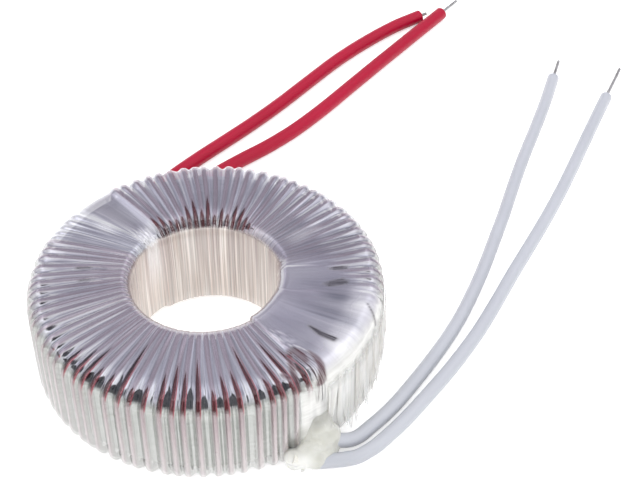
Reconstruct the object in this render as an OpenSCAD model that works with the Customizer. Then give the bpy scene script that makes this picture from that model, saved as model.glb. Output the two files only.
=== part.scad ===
// Small toroidal mains transformer with two pairs of flying leads.
// The origin is on the toroid's axis at the height it stands on, with +Z up through the hole.

/* [Core] */
// Diameter over the strip-wound steel core
core_od = 58; // [50:1:80]
// Diameter of the hole through the steel core
core_id = 36; // [30:1:42]
// Height of the steel core
core_h = 12; // [10:1:30]
// Thickness of the steel strip, seen as a step where the last turn ends
strip_t = 0.3; // [0.2:0.05:0.5]
// Thickness of the insulating washer on each end of the core
washer_t = 0.5; // [0.3:0.1:1]
// Thickness of the tape round the core
core_tape_t = 0.3; // [0.2:0.1:0.6]

/* [Primary winding] */
// Build of the primary winding round the outside
primary_build = 1.6; // [1.2:0.1:3]
// Build of the primary winding in the hole
primary_hole_build = 2.3; // [1.6:0.1:3]
// Build of the primary winding on the faces, beside the hole
primary_shoulder_build = 1.6; // [1.4:0.1:3]
// Build of the primary winding on the faces, at the outer edge
primary_edge_build = 1.1; // [0.9:0.1:1.4]
// Rounding of the primary winding at its outer edges
primary_edge_r = 2.4; // [2:0.1:2.6]
// Rounding of the primary winding at its shoulders in the hole
primary_shoulder_r = 0.8; // [0.6:0.1:1.2]
// Diameter of the primary wire's two ends
primary_wire_d = 0.4; // [0.2:0.05:0.5]
// Thickness of the milky film over the primary winding
primary_film_t = 0.3; // [0.2:0.05:0.6]

/* [Secondary winding] */
// Number of turns in the single layer of thick enamelled wire
turns = 76; // [60:1:76]
// Diameter of the enamelled wire
wire_d = 0.9; // [0.6:0.05:0.9]
// Angle of the first turn, counted from +X
first_turn_angle = 122; // [116:1:126]
// Angle left bare between the last turn and the first
bare_angle = 34.5; // [33:0.5:38]
// Angle that a turn leans back on its way from the outside to the hole
turn_lean = 2.1; // [0:0.1:3]
// How far a turn strays from its even place round the outside, in degrees
turn_stray = 0.55; // [0:0.05:0.6]

/* [Insulating pad] */
// Thickness of the film pad between the turns and the wrap
pad_t = 0.2; // [0.1:0.05:0.3]
// Angle at which the pad starts, counted from +X
pad_start = -56; // [-60:1:-40]
// Angle that the pad covers
pad_angle = 54; // [20:1:60]

/* [Outer wrap] */
// Thickness of the clear polyester film wrap
wrap_t = 0.25; // [0.15:0.05:0.5]
// Diameter of the hole through the finished transformer
hole_d = 27; // [25:0.5:27.4]
// Depth of the film's sag between two turns, as a share of their spacing
tent_share = 0.18; // [0:0.01:0.2]
// Greatest depth of the film's sag between two turns
tent_max = 0.45; // [0:0.05:0.45]
// Depth of the film's sag over the bare angle
bare_sag = 0.85; // [0:0.05:0.85]

/* [Leads] */
// Diameter over the insulation of the white leads
white_lead_d = 2.7; // [2:0.1:2.7]
// Diameter over the insulation of the red leads
red_lead_d = 3.1; // [2:0.1:3.1]
// Diameter of the tinned conductor at a lead's bare end
conductor_d = 0.85; // [0.6:0.05:1]
// Diameter of the sleeve over each joint between winding and lead
sleeve_d = 1.9; // [1.5:0.1:1.9]
// Clearance round a piece that passes through another
pass_clearance = 0.05; // [0.02:0.01:0.1]

/* [Hidden] */

$fn = 64;

// Gap that the wire keeps to the film under it, and the looser one to the wrap over it
wire_gap = 0.05;
wrap_gap = 0.1;
// Steps in each rounded corner of the inner layers and of the wire, and of the wrap's outside
layer_steps = 2;
wrap_steps = 4;
shoulder_steps = 3;
wire_sides = 6;
cord_sides = 8;

// A ring section is [inner radius, outer radius, half height at the hole, half height at the edge,
// shoulder rounding, edge rounding], and it is centred on the toroid's middle height.
tape_section = [core_id / 2 - core_tape_t, core_od / 2 + core_tape_t,
    core_h / 2 + washer_t + core_tape_t, core_h / 2 + washer_t + core_tape_t, core_tape_t, core_tape_t];
primary_section = [tape_section[0] - primary_hole_build, tape_section[1] + primary_build,
    tape_section[2] + primary_shoulder_build, tape_section[3] + primary_edge_build,
    primary_shoulder_r, primary_edge_r];
film_section = grown(primary_section, primary_film_t);
wire_section = grown(film_section, wire_gap + wire_d / 2);
wrap_inner_section = grown(wire_section, wire_d / 2 + wrap_gap);
wrap_crest_section = grown(wrap_inner_section, wrap_t);
mid_z = wrap_crest_section[2];
// The wrap's own wall in the hole starts this far inside the bore, which then trims it round
hole_trim = 0.3;
// The wrap's outside, with its shoulders rounded from the crest's own centre down to that wall
wrap_outer_section = [hole_d / 2 - hole_trim, wrap_crest_section[1], wrap_crest_section[2],
    wrap_crest_section[3], wrap_crest_section[0] + wrap_crest_section[4] - hole_d / 2 + hole_trim,
    wrap_crest_section[5]];

turn_pitch = (360 - bare_angle) / (turns - 1);
bare_columns = 7;
wire_columns = 2 * turns - 1;
columns = wire_columns + bare_columns;

function grown(s, t) = [s[0] - t, s[1] + t, s[2] + t, s[3] + t, s[4] + t, s[5] + t];

// Points and outward normals round a section, from the lower outer edge up the outside and down the hole
function corner(r, z, radius, from, steps) = [for (i = [0 : steps])
    let (a = from + 90 * i / steps) [r + radius * cos(a), z + radius * sin(a), cos(a), sin(a)]];
function outline(s, edge_steps, shoulder_steps) = concat(
    corner(s[1] - s[5], s[5] - s[3], s[5], -90, edge_steps),
    corner(s[1] - s[5], s[3] - s[5], s[5], 0, edge_steps),
    corner(s[0] + s[4], s[2] - s[4], s[4], 90, shoulder_steps),
    corner(s[0] + s[4], s[4] - s[2], s[4], 180, shoulder_steps));
function flat_outline(s) = [for (p = outline(s, layer_steps, layer_steps)) [p[0], p[1] + mid_z]];
function box_outline(half) = [[core_id / 2, mid_z - half], [core_od / 2, mid_z - half],
    [core_od / 2, mid_z + half], [core_id / 2, mid_z + half]];

function polar(angle, r, z) = [r * cos(angle), r * sin(angle), z];
function unit(v) = v / norm(v);

// Angle of a turn on the outside and in the hole
function stray(i) = turn_stray * (sin(97.3 * i) + 0.6 * sin(41.7 * i + 20));
function outer_angle(i) = first_turn_angle - turn_pitch * i + stray(i);
function hole_angle(i) = first_turn_angle - turn_pitch * i - turn_lean + 0.25 * stray(i);

// A tube along a path: each ring is the last one slid along the path onto the next mitre plane
function first_ring(p, d, r, sides, up) =
    let (side = unit(cross(d, up)), top = cross(side, d))
    [for (i = [0 : sides - 1]) p + r * (cos(360 * i / sides) * top + sin(360 * i / sides) * side)];
function slid_ring(ring, p, d, mitre) = [for (v = ring) v + d * (((p - v) * mitre) / (d * mitre))];
function path_directions(path) = [for (i = [0 : len(path) - 2]) unit(path[i + 1] - path[i])];
function swept_rings(path, r, sides, up, facing) =
    let (d = path_directions(path), last = len(path) - 1)
    [for (i = 0, ring = first_ring(path[0], facing, r, sides, up); i <= last; i = i + 1,
        ring = i > last ? ring : slid_ring(ring, path[i], d[i - 1], i < last ? unit(d[i - 1] + d[i]) : d[i - 1]))
        ring];

module tube(path, diameter, sides, up, facing) {
    rings = swept_rings(path, diameter / 2, sides, up, facing);
    last = len(rings) - 1;
    walls = [for (i = [0 : last - 1], k = [0 : sides - 1])
        [i * sides + k, (i + 1) * sides + k, (i + 1) * sides + (k + 1) % sides, i * sides + (k + 1) % sides]];
    near_cap = [for (k = [0 : sides - 1]) k];
    far_cap = [for (k = [sides - 1 : -1 : 0]) last * sides + k];
    polyhedron(points = [for (ring = rings) each ring], faces = concat([near_cap, far_cap], walls));
}

// A straight rod between two points, as a true cylinder
module rod(from, to, diameter) {
    d = to - from;
    translate(from)
        rotate([0, acos(d[2] / norm(d)), atan2(d[1], d[0])])
            cylinder(d = diameter, h = norm(d));
}

// One closed layer of the toroid, between two outlines
module layer(outer, inner) {
    rotate_extrude()
        polygon(concat(outer, inner), paths = [[for (i = [0 : len(outer) - 1]) i],
            [for (i = [0 : len(inner) - 1]) len(outer) + i]]);
}

/* ---- Routes of the leads, from their joints to their bare ends, lying on the surface under them ---- */

white_lead_1_route = [[18.1, -28.7, 3.9], [20.2, -27.6, 3.4], [22.4, -27, 2.2], [24.5, -26, 1.5],
    [26.8, -24.2, 1.35], [31.9, -19.6, 1.35], [37.3, -13.4, 1.35], [43.1, -6.1, 1.35], [47.9, 0.8, 1.35],
    [52.2, 8.2, 1.35], [55.7, 14.9, 1.35], [59.2, 22.2, 1.35], [63.1, 30.5, 1.35], [67, 39.3, 1.35],
    [71.2, 48.4, 1.35], [75.9, 57.9, 1.35], [80.7, 67.9, 1.35], [84.7, 77, 1.35]];
white_lead_2_route = [[17, -30.6, 1.5], [19.6, -30.6, 1.4], [21.8, -30.5, 1.35], [24, -30.2, 1.35],
    [26.2, -29.1, 1.35], [28.5, -27.5, 1.35], [33.5, -23, 1.35], [38.9, -17.3, 1.35], [44.5, -11, 1.35],
    [50.6, -3.3, 1.35], [55.6, 4, 1.35], [60.9, 12.2, 1.35], [65.6, 19.2, 1.35], [70.8, 27, 1.35],
    [75.6, 34.6, 1.35], [80.3, 42.5, 1.35], [85.6, 51.8, 1.35], [91.1, 61.4, 1.35], [95.1, 68.3, 1.35]];
red_lead_1_route = [[-27.5, 20.4, 2.8], [-25.6, 25, 1.7], [-22.3, 31, 1.55], [-17.6, 37.4, 1.55],
    [-12, 43.6, 1.55], [-6, 49.8, 1.55], [0.3, 55.8, 1.55], [6.8, 61.5, 1.55], [13.4, 67.4, 1.55],
    [20.4, 74.2, 1.55], [27.8, 82, 1.55], [35.3, 89.7, 1.55], [43, 96.4, 1.55], [50.7, 102.1, 1.55],
    [57.6, 106, 1.55]];
red_lead_2_route = [[-24.8, 23.4, 5], [-21.9, 26.3, 4], [-18.6, 29.9, 2.3], [-14.8, 33.9, 1.65],
    [-10, 38.5, 1.55], [-4, 43.8, 1.55], [2.7, 49.2, 1.55], [9.4, 54.1, 1.55], [15.9, 58.5, 1.55],
    [22.6, 63.9, 1.55], [29.8, 71, 1.55], [37.3, 79.1, 1.55], [45.1, 87.5, 1.55], [53.2, 96.1, 1.55],
    [63.2, 106.7, 1.55]];
// Length of bare conductor beyond each lead's insulation: white 1, white 2, red 1, red 2
bare_lengths = [7.2, 12.3, 2.2, 7.1];

// Where the windings' ends meet the leads: the axis of each sleeve runs from the lead's start
// through the tip of the winding's tail, and a little past it
joint_r = wrap_crest_section[1] + 1.3;
sleeve_over = 0.8;
function sleeve_back(start, tip) = tip + sleeve_over * unit(tip - start);

// Each end of the primary winding leaves between two turns of the secondary winding
white_tail_turns = [42, 43];
white_tail_heights = [4.4, 3.5];
function tail_angle(i) = (outer_angle(white_tail_turns[i]) + outer_angle(white_tail_turns[i] + 1)) / 2;
function white_tail_root(i) = polar(tail_angle(i), primary_section[1] - primary_build / 2, white_tail_heights[i]);
function white_tail_tip(i) = polar(tail_angle(i), joint_r, white_tail_heights[i]);

module white_tail(i, diameter) {
    rod(white_tail_root(i), white_tail_tip(i), diameter);
}

// The secondary winding's last turn ends in the first red joint, and its first turn starts in the second
tail_wall_r = wire_section[1];
red_tail_roots = [outline_point(turns, layer_steps), polar(143, tail_wall_r, 6)];
red_tail_tips = [polar(150.6, joint_r, 4.3), polar(144.4, joint_r, 5.7)];
function outline_point(i, k) = turn_points(i)[k];

module red_tail(i, diameter) {
    rod(red_tail_roots[i], red_tail_tips[i], diameter);
}

// Way of a lead and its sleeve through the glue
module lead_way(route, tail_tip, diameter) {
    rod(route[0], sleeve_back(route[0], tail_tip), sleeve_d);
    lead(route, tail_tip, diameter + 2 * pass_clearance);
}

// Blobs that each lump of glue is drawn over, as a centre and a radius
white_blobs = [[[12.6, -30.5, 3.6], 1.7], [[14, -29.3, 6.6], 1.7], [[18, -30, 2.1], 2.4],
    [[19.2, -27.4, 5.2], 2], [[19.6, -28, 2.8], 2.1], [[16.2, -27.2, 9.6], 1.8], [[15, -30.4, 3.2], 2]];
red_blobs = [[[-29.1, 16.6, 3.6], 2], [[-27.9, 19.2, 6], 2], [[-25.2, 22.6, 5], 2.3],
    [[-26.6, 21.2, 2.3], 2.5]];

/* ---- Core ---- */

// Angle over which the last turn of strip is missing, past its cut end
strip_end_angle = 40;

module core() {
    color("dimgray")
        difference() {
            rotate_extrude()
                polygon(box_outline(core_h / 2));
            rotate([0, 0, -strip_end_angle])
                rotate_extrude(angle = strip_end_angle)
                    translate([core_od / 2 - strip_t, mid_z - core_h])
                        square([2 * strip_t, 2 * core_h]);
        }
}

module end_washer(z) {
    color("tan")
        translate([0, 0, z])
            difference() {
                cylinder(d = core_od, h = washer_t);
                translate([0, 0, -washer_t])
                    cylinder(d = core_id, h = 3 * washer_t);
            }
}

module core_end_washer_top() {
    end_washer(mid_z + core_h / 2);
}

module core_end_washer_bottom() {
    end_washer(mid_z - core_h / 2 - washer_t);
}

module core_tape() {
    color("gold")
        layer(flat_outline(tape_section), box_outline(core_h / 2 + washer_t));
}

/* ---- Primary winding, with the ends that leave it for the white leads ---- */

module primary_winding() {
    color("sienna") {
        layer(flat_outline(primary_section), flat_outline(tape_section));
        white_tail(0, primary_wire_d);
        white_tail(1, primary_wire_d);
    }
}

module primary_insulation() {
    color("whitesmoke")
        difference() {
            layer(flat_outline(film_section), flat_outline(primary_section));
            white_tail(0, primary_wire_d + 2 * pass_clearance);
            white_tail(1, primary_wire_d + 2 * pass_clearance);
        }
}

/* ---- Secondary winding ---- */

// The wire comes out of the red joints, runs along the wall to its first turn and back from its last
start_tail = [red_tail_tips[1], red_tail_roots[1], each [for (s = [1 : 6]) polar(143 - 3 * s, tail_wall_r, 6 + 0.4 * s)]];
end_tail = [red_tail_tips[0]];

function turn_points(i) =
    let (s = outline(wire_section, layer_steps, layer_steps), half = 2 * (layer_steps + 1))
    [for (k = [0 : len(s) - 1]) polar(k < half ? outer_angle(i) : hole_angle(i), s[k][0], s[k][1] + mid_z)];
winding_path =
    let (first = turn_points(0), final = turn_points(turns))
    concat(start_tail, [for (k = [layer_steps + 1 : len(first) - 1]) first[k]],
        [for (i = [1 : turns - 1]) each turn_points(i)],
        [for (k = [0 : layer_steps]) final[k]], end_tail);

module secondary_winding() {
    color("firebrick")
        tube(winding_path, wire_d, wire_sides, [0, 0, 1], unit(winding_path[1] - winding_path[0]));
}

/* ---- Insulating pad over the turns, from the hole's shoulder to the lower edge of the wall ---- */

// Slack between the pad and its neighbours
pad_slack = 0.02;

module insulating_pad() {
    inner = outline(grown(wrap_inner_section, -pad_slack), layer_steps, layer_steps);
    outer = outline(grown(wrap_inner_section, pad_t - pad_slack), layer_steps, layer_steps);
    shown = [layer_steps : 2 * layer_steps + 2];
    color("lavender")
        rotate([0, 0, pad_start])
            rotate_extrude(angle = pad_angle)
                polygon([each [for (k = shown) [outer[k][0], outer[k][1] + mid_z]],
                    each [for (k = [2 * layer_steps + 2 : -1 : layer_steps]) [inner[k][0], inner[k][1] + mid_z]]]);
}

/* ---- Outer wrap ---- */

// Kind of a column of the wrap: 0 over a turn, 1 between turns, 2 over the bare angle
function column_kind(c) = c >= wire_columns ? 2 : c % 2;
function bare_share(c) = (c - wire_columns + 1) / (bare_columns + 1);
function blend(a, b, share) = a + (b - a) * share;
function column_angle(c, at_hole) =
    let (i = floor(c / 2), angle = function (n) at_hole ? hole_angle(n) : outer_angle(n))
    column_kind(c) == 0 ? angle(i)
    : column_kind(c) == 1 ? (angle(i) + angle(i + 1)) / 2
    : blend(angle(turns - 1), angle(0) - 360, bare_share(c));

// Points of the outline that the pad lifts run from the wall's lower end to the top's inner end.
// The lift runs on past the pad at both ends, because the columns beside it slope down.
pad_margin = [3, 6];
function in_pad(angle) = (angle - pad_start + pad_margin[0] + 720) % 360 <= pad_angle + pad_margin[0] + pad_margin[1];
function pad_lift(c, k, steps) =
    k >= steps && k <= 2 * steps + 2 && in_pad(column_angle(c, false)) ? pad_t : 0;

// The film sags over the bare angle on the top and the upper edge, and between turns everywhere but in the hole
function bare_depth(c, p, k, steps) =
    k <= steps || k > 2 * steps + 2 ? 0 : bare_sag * (k == 2 * steps + 2 ? 0.5 : 0.35 + 0.65 * p[3])
        * sin(180 * bare_share(c));
function tent_depth(c, p, k, steps) =
    let (at_hole = k > 2 * steps + 1, spacing = p[0] * (column_angle(c - 1, at_hole) - column_angle(c + 1, at_hole)) * PI / 180)
    p[2] < -0.9 ? 0 : min(tent_max, tent_share * spacing);
function column_depth(c, p, k, steps) =
    column_kind(c) == 2 ? bare_depth(c, p, k, steps)
    : column_kind(c) == 1 && pad_lift(c, k, steps) == 0 ? tent_depth(c, p, k, steps)
    : 0;
function wrap_point(c, p, k, steps) =
    let (lift = pad_lift(c, k, steps) - column_depth(c, p, k, steps))
    polar(column_angle(c, k > 2 * steps + 1), p[0] + p[2] * lift, p[1] + p[3] * lift + mid_z);

module wrap_surface(s, edge_steps, shoulder_steps) {
    o = outline(s, edge_steps, shoulder_steps);
    rows = len(o);
    // Under the toroid each turn runs on to the next one's place, two columns along
    function at(c, k) = k < rows ? (c % columns) * rows + k : ((c + 2) % columns) * rows;
    polyhedron(
        points = [for (c = [0 : columns - 1], k = [0 : rows - 1]) wrap_point(c, o[k], k, edge_steps)],
        faces = [for (c = [0 : columns - 1], k = [0 : rows - 1]) each
            [[at(c, k), at(c + 1, k), at(c + 1, k + 1)], [at(c, k), at(c + 1, k + 1), at(c, k + 1)]]]);
}

module outer_wrap() {
    color("thistle")
        difference() {
            wrap_surface(wrap_outer_section, wrap_steps, shoulder_steps);
            wrap_surface(wrap_inner_section, layer_steps, layer_steps);
            translate([0, 0, -mid_z])
                cylinder(d = hole_d, h = 4 * mid_z);
            white_tail(0, primary_wire_d + 2 * pass_clearance);
            white_tail(1, primary_wire_d + 2 * pass_clearance);
            red_tail(0, wire_d + 2 * pass_clearance);
            red_tail(1, wire_d + 2 * pass_clearance);
        }
}

/* ---- Joints between the windings' ends and the leads, each in its sleeve ---- */

module sleeve(lead_start, tail_tip, socket_start, socket_d) {
    color("ivory")
        difference() {
            rod(lead_start, sleeve_back(lead_start, tail_tip), sleeve_d);
            rod(socket_start, tail_tip, socket_d);
        }
}

module white_lead_1_joint() {
    sleeve(white_lead_1_route[0], white_tail_tip(0), white_tail_root(0), primary_wire_d);
}

module white_lead_2_joint() {
    sleeve(white_lead_2_route[0], white_tail_tip(1), white_tail_root(1), primary_wire_d);
}

module red_lead_1_joint() {
    sleeve(red_lead_1_route[0], red_tail_tips[0], red_tail_roots[0], wire_d);
}

module red_lead_2_joint() {
    sleeve(red_lead_2_route[0], red_tail_tips[1], red_tail_roots[1], wire_d);
}

/* ---- Glue over the joints, moulded against the wrap and standing on what the toroid stands on ---- */

// Room that the wrap takes, raised by the pad's thickness over the pad
module wrap_room(lift, angle = 360) {
    rotate_extrude(angle = angle)
        polygon([for (p = outline(grown(wrap_crest_section, lift), wrap_steps, wrap_steps)) [p[0], p[1] + mid_z]]);
}

module glue_over(blobs) {
    difference() {
        hull()
            for (blob = blobs)
                translate(blob[0])
                    sphere(r = blob[1], $fn = 24);
        wrap_room(0);
        rotate([0, 0, pad_start - 2 * pad_margin[0]])
            wrap_room(pad_t, pad_angle + 2 * pad_margin[0] + pad_margin[1]);
        translate([-core_od, -core_od, -core_h])
            cube([2 * core_od, 2 * core_od, core_h]);
        children();
    }
}

module white_exit_glue() {
    color("floralwhite")
        glue_over(white_blobs) {
            lead_way(white_lead_1_route, white_tail_tip(0), white_lead_d);
            lead_way(white_lead_2_route, white_tail_tip(1), white_lead_d);
            white_tail(0, primary_wire_d);
            white_tail(1, primary_wire_d);
        }
}

module red_exit_glue() {
    color("floralwhite")
        glue_over(red_blobs) {
            lead_way(red_lead_1_route, red_tail_tips[0], red_lead_d);
            lead_way(red_lead_2_route, red_tail_tips[1], red_lead_d);
            red_tail(0, wire_d);
            red_tail(1, wire_d);
        }
}

/* ---- Leads ---- */

module lead(route, tail_tip, diameter) {
    tube(route, diameter, cord_sides, [0, 0, 1], unit(route[0] - tail_tip));
}

module lead_tip(route, length) {
    end = route[len(route) - 1];
    color("silver")
        rod(end, end + length * unit(end - route[len(route) - 2]), conductor_d);
}

module white_lead_1() {
    color("aliceblue")
        lead(white_lead_1_route, white_tail_tip(0), white_lead_d);
}

module white_lead_2() {
    color("aliceblue")
        lead(white_lead_2_route, white_tail_tip(1), white_lead_d);
}

module red_lead_1() {
    color("crimson")
        lead(red_lead_1_route, red_tail_tips[0], red_lead_d);
}

module red_lead_2() {
    color("crimson")
        lead(red_lead_2_route, red_tail_tips[1], red_lead_d);
}

module white_lead_1_tip() {
    lead_tip(white_lead_1_route, bare_lengths[0]);
}

module white_lead_2_tip() {
    lead_tip(white_lead_2_route, bare_lengths[1]);
}

module red_lead_1_tip() {
    lead_tip(red_lead_1_route, bare_lengths[2]);
}

module red_lead_2_tip() {
    lead_tip(red_lead_2_route, bare_lengths[3]);
}

core();
core_end_washer_top();
core_end_washer_bottom();
core_tape();
primary_winding();
primary_insulation();
secondary_winding();
insulating_pad();
outer_wrap();
white_lead_1_joint();
white_lead_2_joint();
red_lead_1_joint();
red_lead_2_joint();
white_exit_glue();
red_exit_glue();
white_lead_1();
white_lead_2();
red_lead_1();
red_lead_2();
white_lead_1_tip();
white_lead_2_tip();
red_lead_1_tip();
red_lead_2_tip();
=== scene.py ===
import math

import bpy
import numpy as np
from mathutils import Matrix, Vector


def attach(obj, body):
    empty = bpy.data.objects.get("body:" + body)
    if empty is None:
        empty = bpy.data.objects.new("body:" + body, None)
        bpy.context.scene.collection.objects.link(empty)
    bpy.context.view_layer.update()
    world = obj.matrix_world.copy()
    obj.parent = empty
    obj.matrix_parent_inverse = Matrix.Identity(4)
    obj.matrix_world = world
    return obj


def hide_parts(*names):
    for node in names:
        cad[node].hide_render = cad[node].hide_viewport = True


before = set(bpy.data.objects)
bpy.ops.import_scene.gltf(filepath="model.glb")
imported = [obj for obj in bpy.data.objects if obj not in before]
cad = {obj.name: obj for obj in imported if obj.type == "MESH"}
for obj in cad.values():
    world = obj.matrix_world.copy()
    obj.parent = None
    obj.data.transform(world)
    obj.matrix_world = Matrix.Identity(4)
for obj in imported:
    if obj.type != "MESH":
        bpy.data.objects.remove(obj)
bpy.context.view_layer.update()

mm = 0.001

# ---- Studio: camera, lamps and floor ----
# A white sweep under soft light. The room is white low down, falls to a lavender grey higher up behind the toroid,
# is bright overhead and dark above the front, and the film mirrors all of it. The lamps only light.

camera_data = bpy.data.cameras.new("studio_camera")
camera = bpy.data.objects.new("studio_camera", camera_data)
bpy.context.scene.collection.objects.link(camera)
camera_data.lens = 79.3
camera_data.sensor_width = 36.0
camera_data.clip_start = 0.01
camera_data.clip_end = 20.0
camera.location = (0.0, -0.1862, 0.1961)
camera.rotation_euler = (math.radians(90 - 42.26), 0.0, math.radians(-6.40))
bpy.context.scene.camera = camera

bpy.context.scene.view_settings.view_transform = "Standard"


def lamp(name, place, aim, width, height, watts):
    """A white rectangle of light that no gloss mirrors."""
    data = bpy.data.lights.new(name, "AREA")
    data.shape = "RECTANGLE"
    data.size = width
    data.size_y = height
    data.energy = watts
    made = bpy.data.objects.new(name, data)
    bpy.context.scene.collection.objects.link(made)
    made.location = place
    made.rotation_euler = (Vector(aim) - Vector(place)).to_track_quat("-Z", "Y").to_euler()
    made.visible_glossy = False


lamp("softbox_behind", (0.1, 0.75, 0.75), (0.0, 0.0, 0.01), 1.5, 0.6, 1.6)
lamp("softbox_over", (0.0, -0.02, 1.0), (0.0, -0.02, 0.0), 1.5, 0.96, 2.6)
lamp("fill_in_front", (-0.3, -0.9, 1.0), (0.02, 0.02, 0.0), 1.0, 1.0, 4.7)
lamp("fill_at_right", (1.0, -0.5, 0.8), (0.02, 0.0, 0.0), 0.8, 0.8, 3.2)


def feed(node, values):
    """Gives a node's inputs their values, plainly or as the output to link."""
    for name, value in values.items():
        if isinstance(value, bpy.types.NodeSocket):
            node.id_data.links.new(value, node.inputs[name])
        else:
            node.inputs[name].default_value = value


def step(tree, kind, values=None, **settings):
    """One shader node, with its properties set and its inputs fed."""
    made = tree.nodes.new(kind)
    for name, value in settings.items():
        setattr(made, name, value)
    feed(made, values or {})
    return made


def home(*values):
    """The node tree of the first output among values."""
    return next(value.id_data for value in values if isinstance(value, bpy.types.NodeSocket))


def rgba(colour):
    """A colour for a socket, from (r, g, b), from one grey, or as the output that it is."""
    if isinstance(colour, bpy.types.NodeSocket):
        return colour
    return (*(colour if isinstance(colour, tuple) else (colour,) * 3), 1.0)


def ramp(source, stops):
    """A colour ramp through stops of (position, colour)."""
    made = step(source.id_data, "ShaderNodeValToRGB", {"Fac": source})
    band = made.color_ramp.elements
    while len(band) < len(stops):
        band.new(0.5)
    for mark, (at, colour) in zip(band, stops):
        mark.position = at
        mark.color = rgba(colour)
    return made.outputs["Color"]


def blended(share, first, second, how="MIX"):
    """Two colours or outputs mixed by share, an output or a number."""
    tree = home(share, first, second)
    made = step(tree, "ShaderNodeMix", data_type="RGBA", blend_type=how)
    feed(made, {0: share, 6: rgba(first), 7: rgba(second)})
    return made.outputs[2]


def layered(base, *layers):
    """A base with colours laid over it in turn, each through its own mask."""
    for mask, colour in layers:
        base = blended(mask, base, colour)
    return base


def sum_up(how, first, second, clamped=False):
    """One sum, as the Math node names it."""
    return step(home(first, second), "ShaderNodeMath", {0: first, 1: second}, operation=how,
                use_clamp=clamped).outputs[0]


def ranged(source, low, high, to_low=0.0, to_high=1.0):
    """The source's span from low to high brought to another, and held at its ends."""
    return step(source.id_data, "ShaderNodeMapRange", {"Value": source, "From Min": low, "From Max": high,
                                                       "To Min": to_low, "To Max": to_high}).outputs[0]


def all_of(*masks):
    """Masks and shares multiplied together."""
    made = masks[0]
    for mask in masks[1:]:
        made = sum_up("MULTIPLY", made, mask)
    return made


world = bpy.data.worlds.new("studio")
bpy.context.scene.world = world
world.use_nodes = True
sky = world.node_tree
sky.nodes.clear()
way = step(sky, "ShaderNodeSeparateXYZ", {0: step(sky, "ShaderNodeTexCoord").outputs["Generated"]})
over = sum_up("ARCTAN2", way.outputs["Z"], way.outputs["Y"])
share = ranged(over, 0.0, math.pi)
glow = ramp(share, [
    (0.0, (1, 1, 1)), (0.11, (1, 1, 1)), (0.15, (0.74, 0.72, 0.80)), (0.20, (0.50, 0.48, 0.56)),
    (0.235, (0.44, 0.43, 0.50)), (0.28, (0.63, 0.62, 0.70)), (0.33, (0.72, 0.71, 0.79)), (0.40, (0.97, 0.97, 1.0)),
    (0.55, (1, 1, 1))])
aside = sum_up("ABSOLUTE", way.outputs["X"], 0.0)
flank = ramp(aside, [(0.0, 0.62), (0.20, 0.66), (0.42, 1.0), (0.60, 0.85),
                          (0.76, 0.62), (0.95, 0.50)])
flank = blended(ranged(way.outputs["Z"], 0.42, 0.62), 0.64, flank)
glow = blended(1.0, glow, flank, "MULTIPLY")
unlit = all_of(ranged(share, 0.53, 0.57), ranged(share, 0.81, 0.86, 1.0, 0.0),
               ranged(way.outputs["X"], 0.28, 0.46, 1.0, 0.0), ranged(way.outputs["X"], -0.38, -0.22))
glow = blended(unlit, glow, (0.015, 0.015, 0.022))
lit = step(sky, "ShaderNodeBackground", {"Color": glow, "Strength": 1.50})
step(sky, "ShaderNodeOutputWorld", {"Surface": lit.outputs[0]})

bpy.ops.object.select_all(action="DESELECT")
bpy.ops.mesh.primitive_plane_add(size=6.0, location=(0, 0, -0.00005))
floor = bpy.context.active_object
floor.name = "studio_floor"
paper = bpy.data.materials.new("studio_paper")
paper.use_nodes = True
tree = paper.node_tree
tree.nodes.clear()
path = step(tree, "ShaderNodeLightPath")
seen = sum_up("MAXIMUM", path.outputs["Is Camera Ray"],
              sum_up("MAXIMUM", path.outputs["Is Glossy Ray"], path.outputs["Is Transmission Ray"]))
shade = step(tree, "ShaderNodeBsdfDiffuse", {"Color": (0.86, 0.86, 0.86, 1), "Roughness": 0.0})
white = step(tree, "ShaderNodeEmission", {"Color": (1, 1, 1, 1), "Strength": sum_up("MULTIPLY", seen, 0.55)})
both = step(tree, "ShaderNodeAddShader", {0: shade.outputs[0], 1: white.outputs[0]})
step(tree, "ShaderNodeOutputMaterial", {"Surface": both.outputs[0]})
floor.data.materials.append(paper)

# ---- Leads: two white and two red ----
# PVC-insulated hook-up leads, cut square and stripped at the far end. They leave the toroid under the wrap, lie on
# the table in loose curves, and end in a short twist of tinned strands.


def finish(name):
    """A new material, its shader, and the place on the piece, in metres in the shared frame."""
    made = bpy.data.materials.new(name)
    made.use_nodes = True
    tree = made.node_tree
    tree.nodes.clear()
    shader = step(tree, "ShaderNodeBsdfPrincipled")
    step(tree, "ShaderNodeOutputMaterial", {"Surface": shader.outputs[0]})
    return made, shader, step(tree, "ShaderNodeTexCoord").outputs["Object"]


def group(name, inputs, outputs):
    """A shader node group with its sockets, and its input and output nodes."""
    made = bpy.data.node_groups.new(name, "ShaderNodeTree")
    for title, kind, value in inputs:
        socket = made.interface.new_socket(title, in_out="INPUT", socket_type=kind)
        if value is not None:
            socket.default_value = value
    for title, kind in outputs:
        made.interface.new_socket(title, in_out="OUTPUT", socket_type=kind)
    return made, made.nodes.new("NodeGroupInput"), made.nodes.new("NodeGroupOutput")


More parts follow.
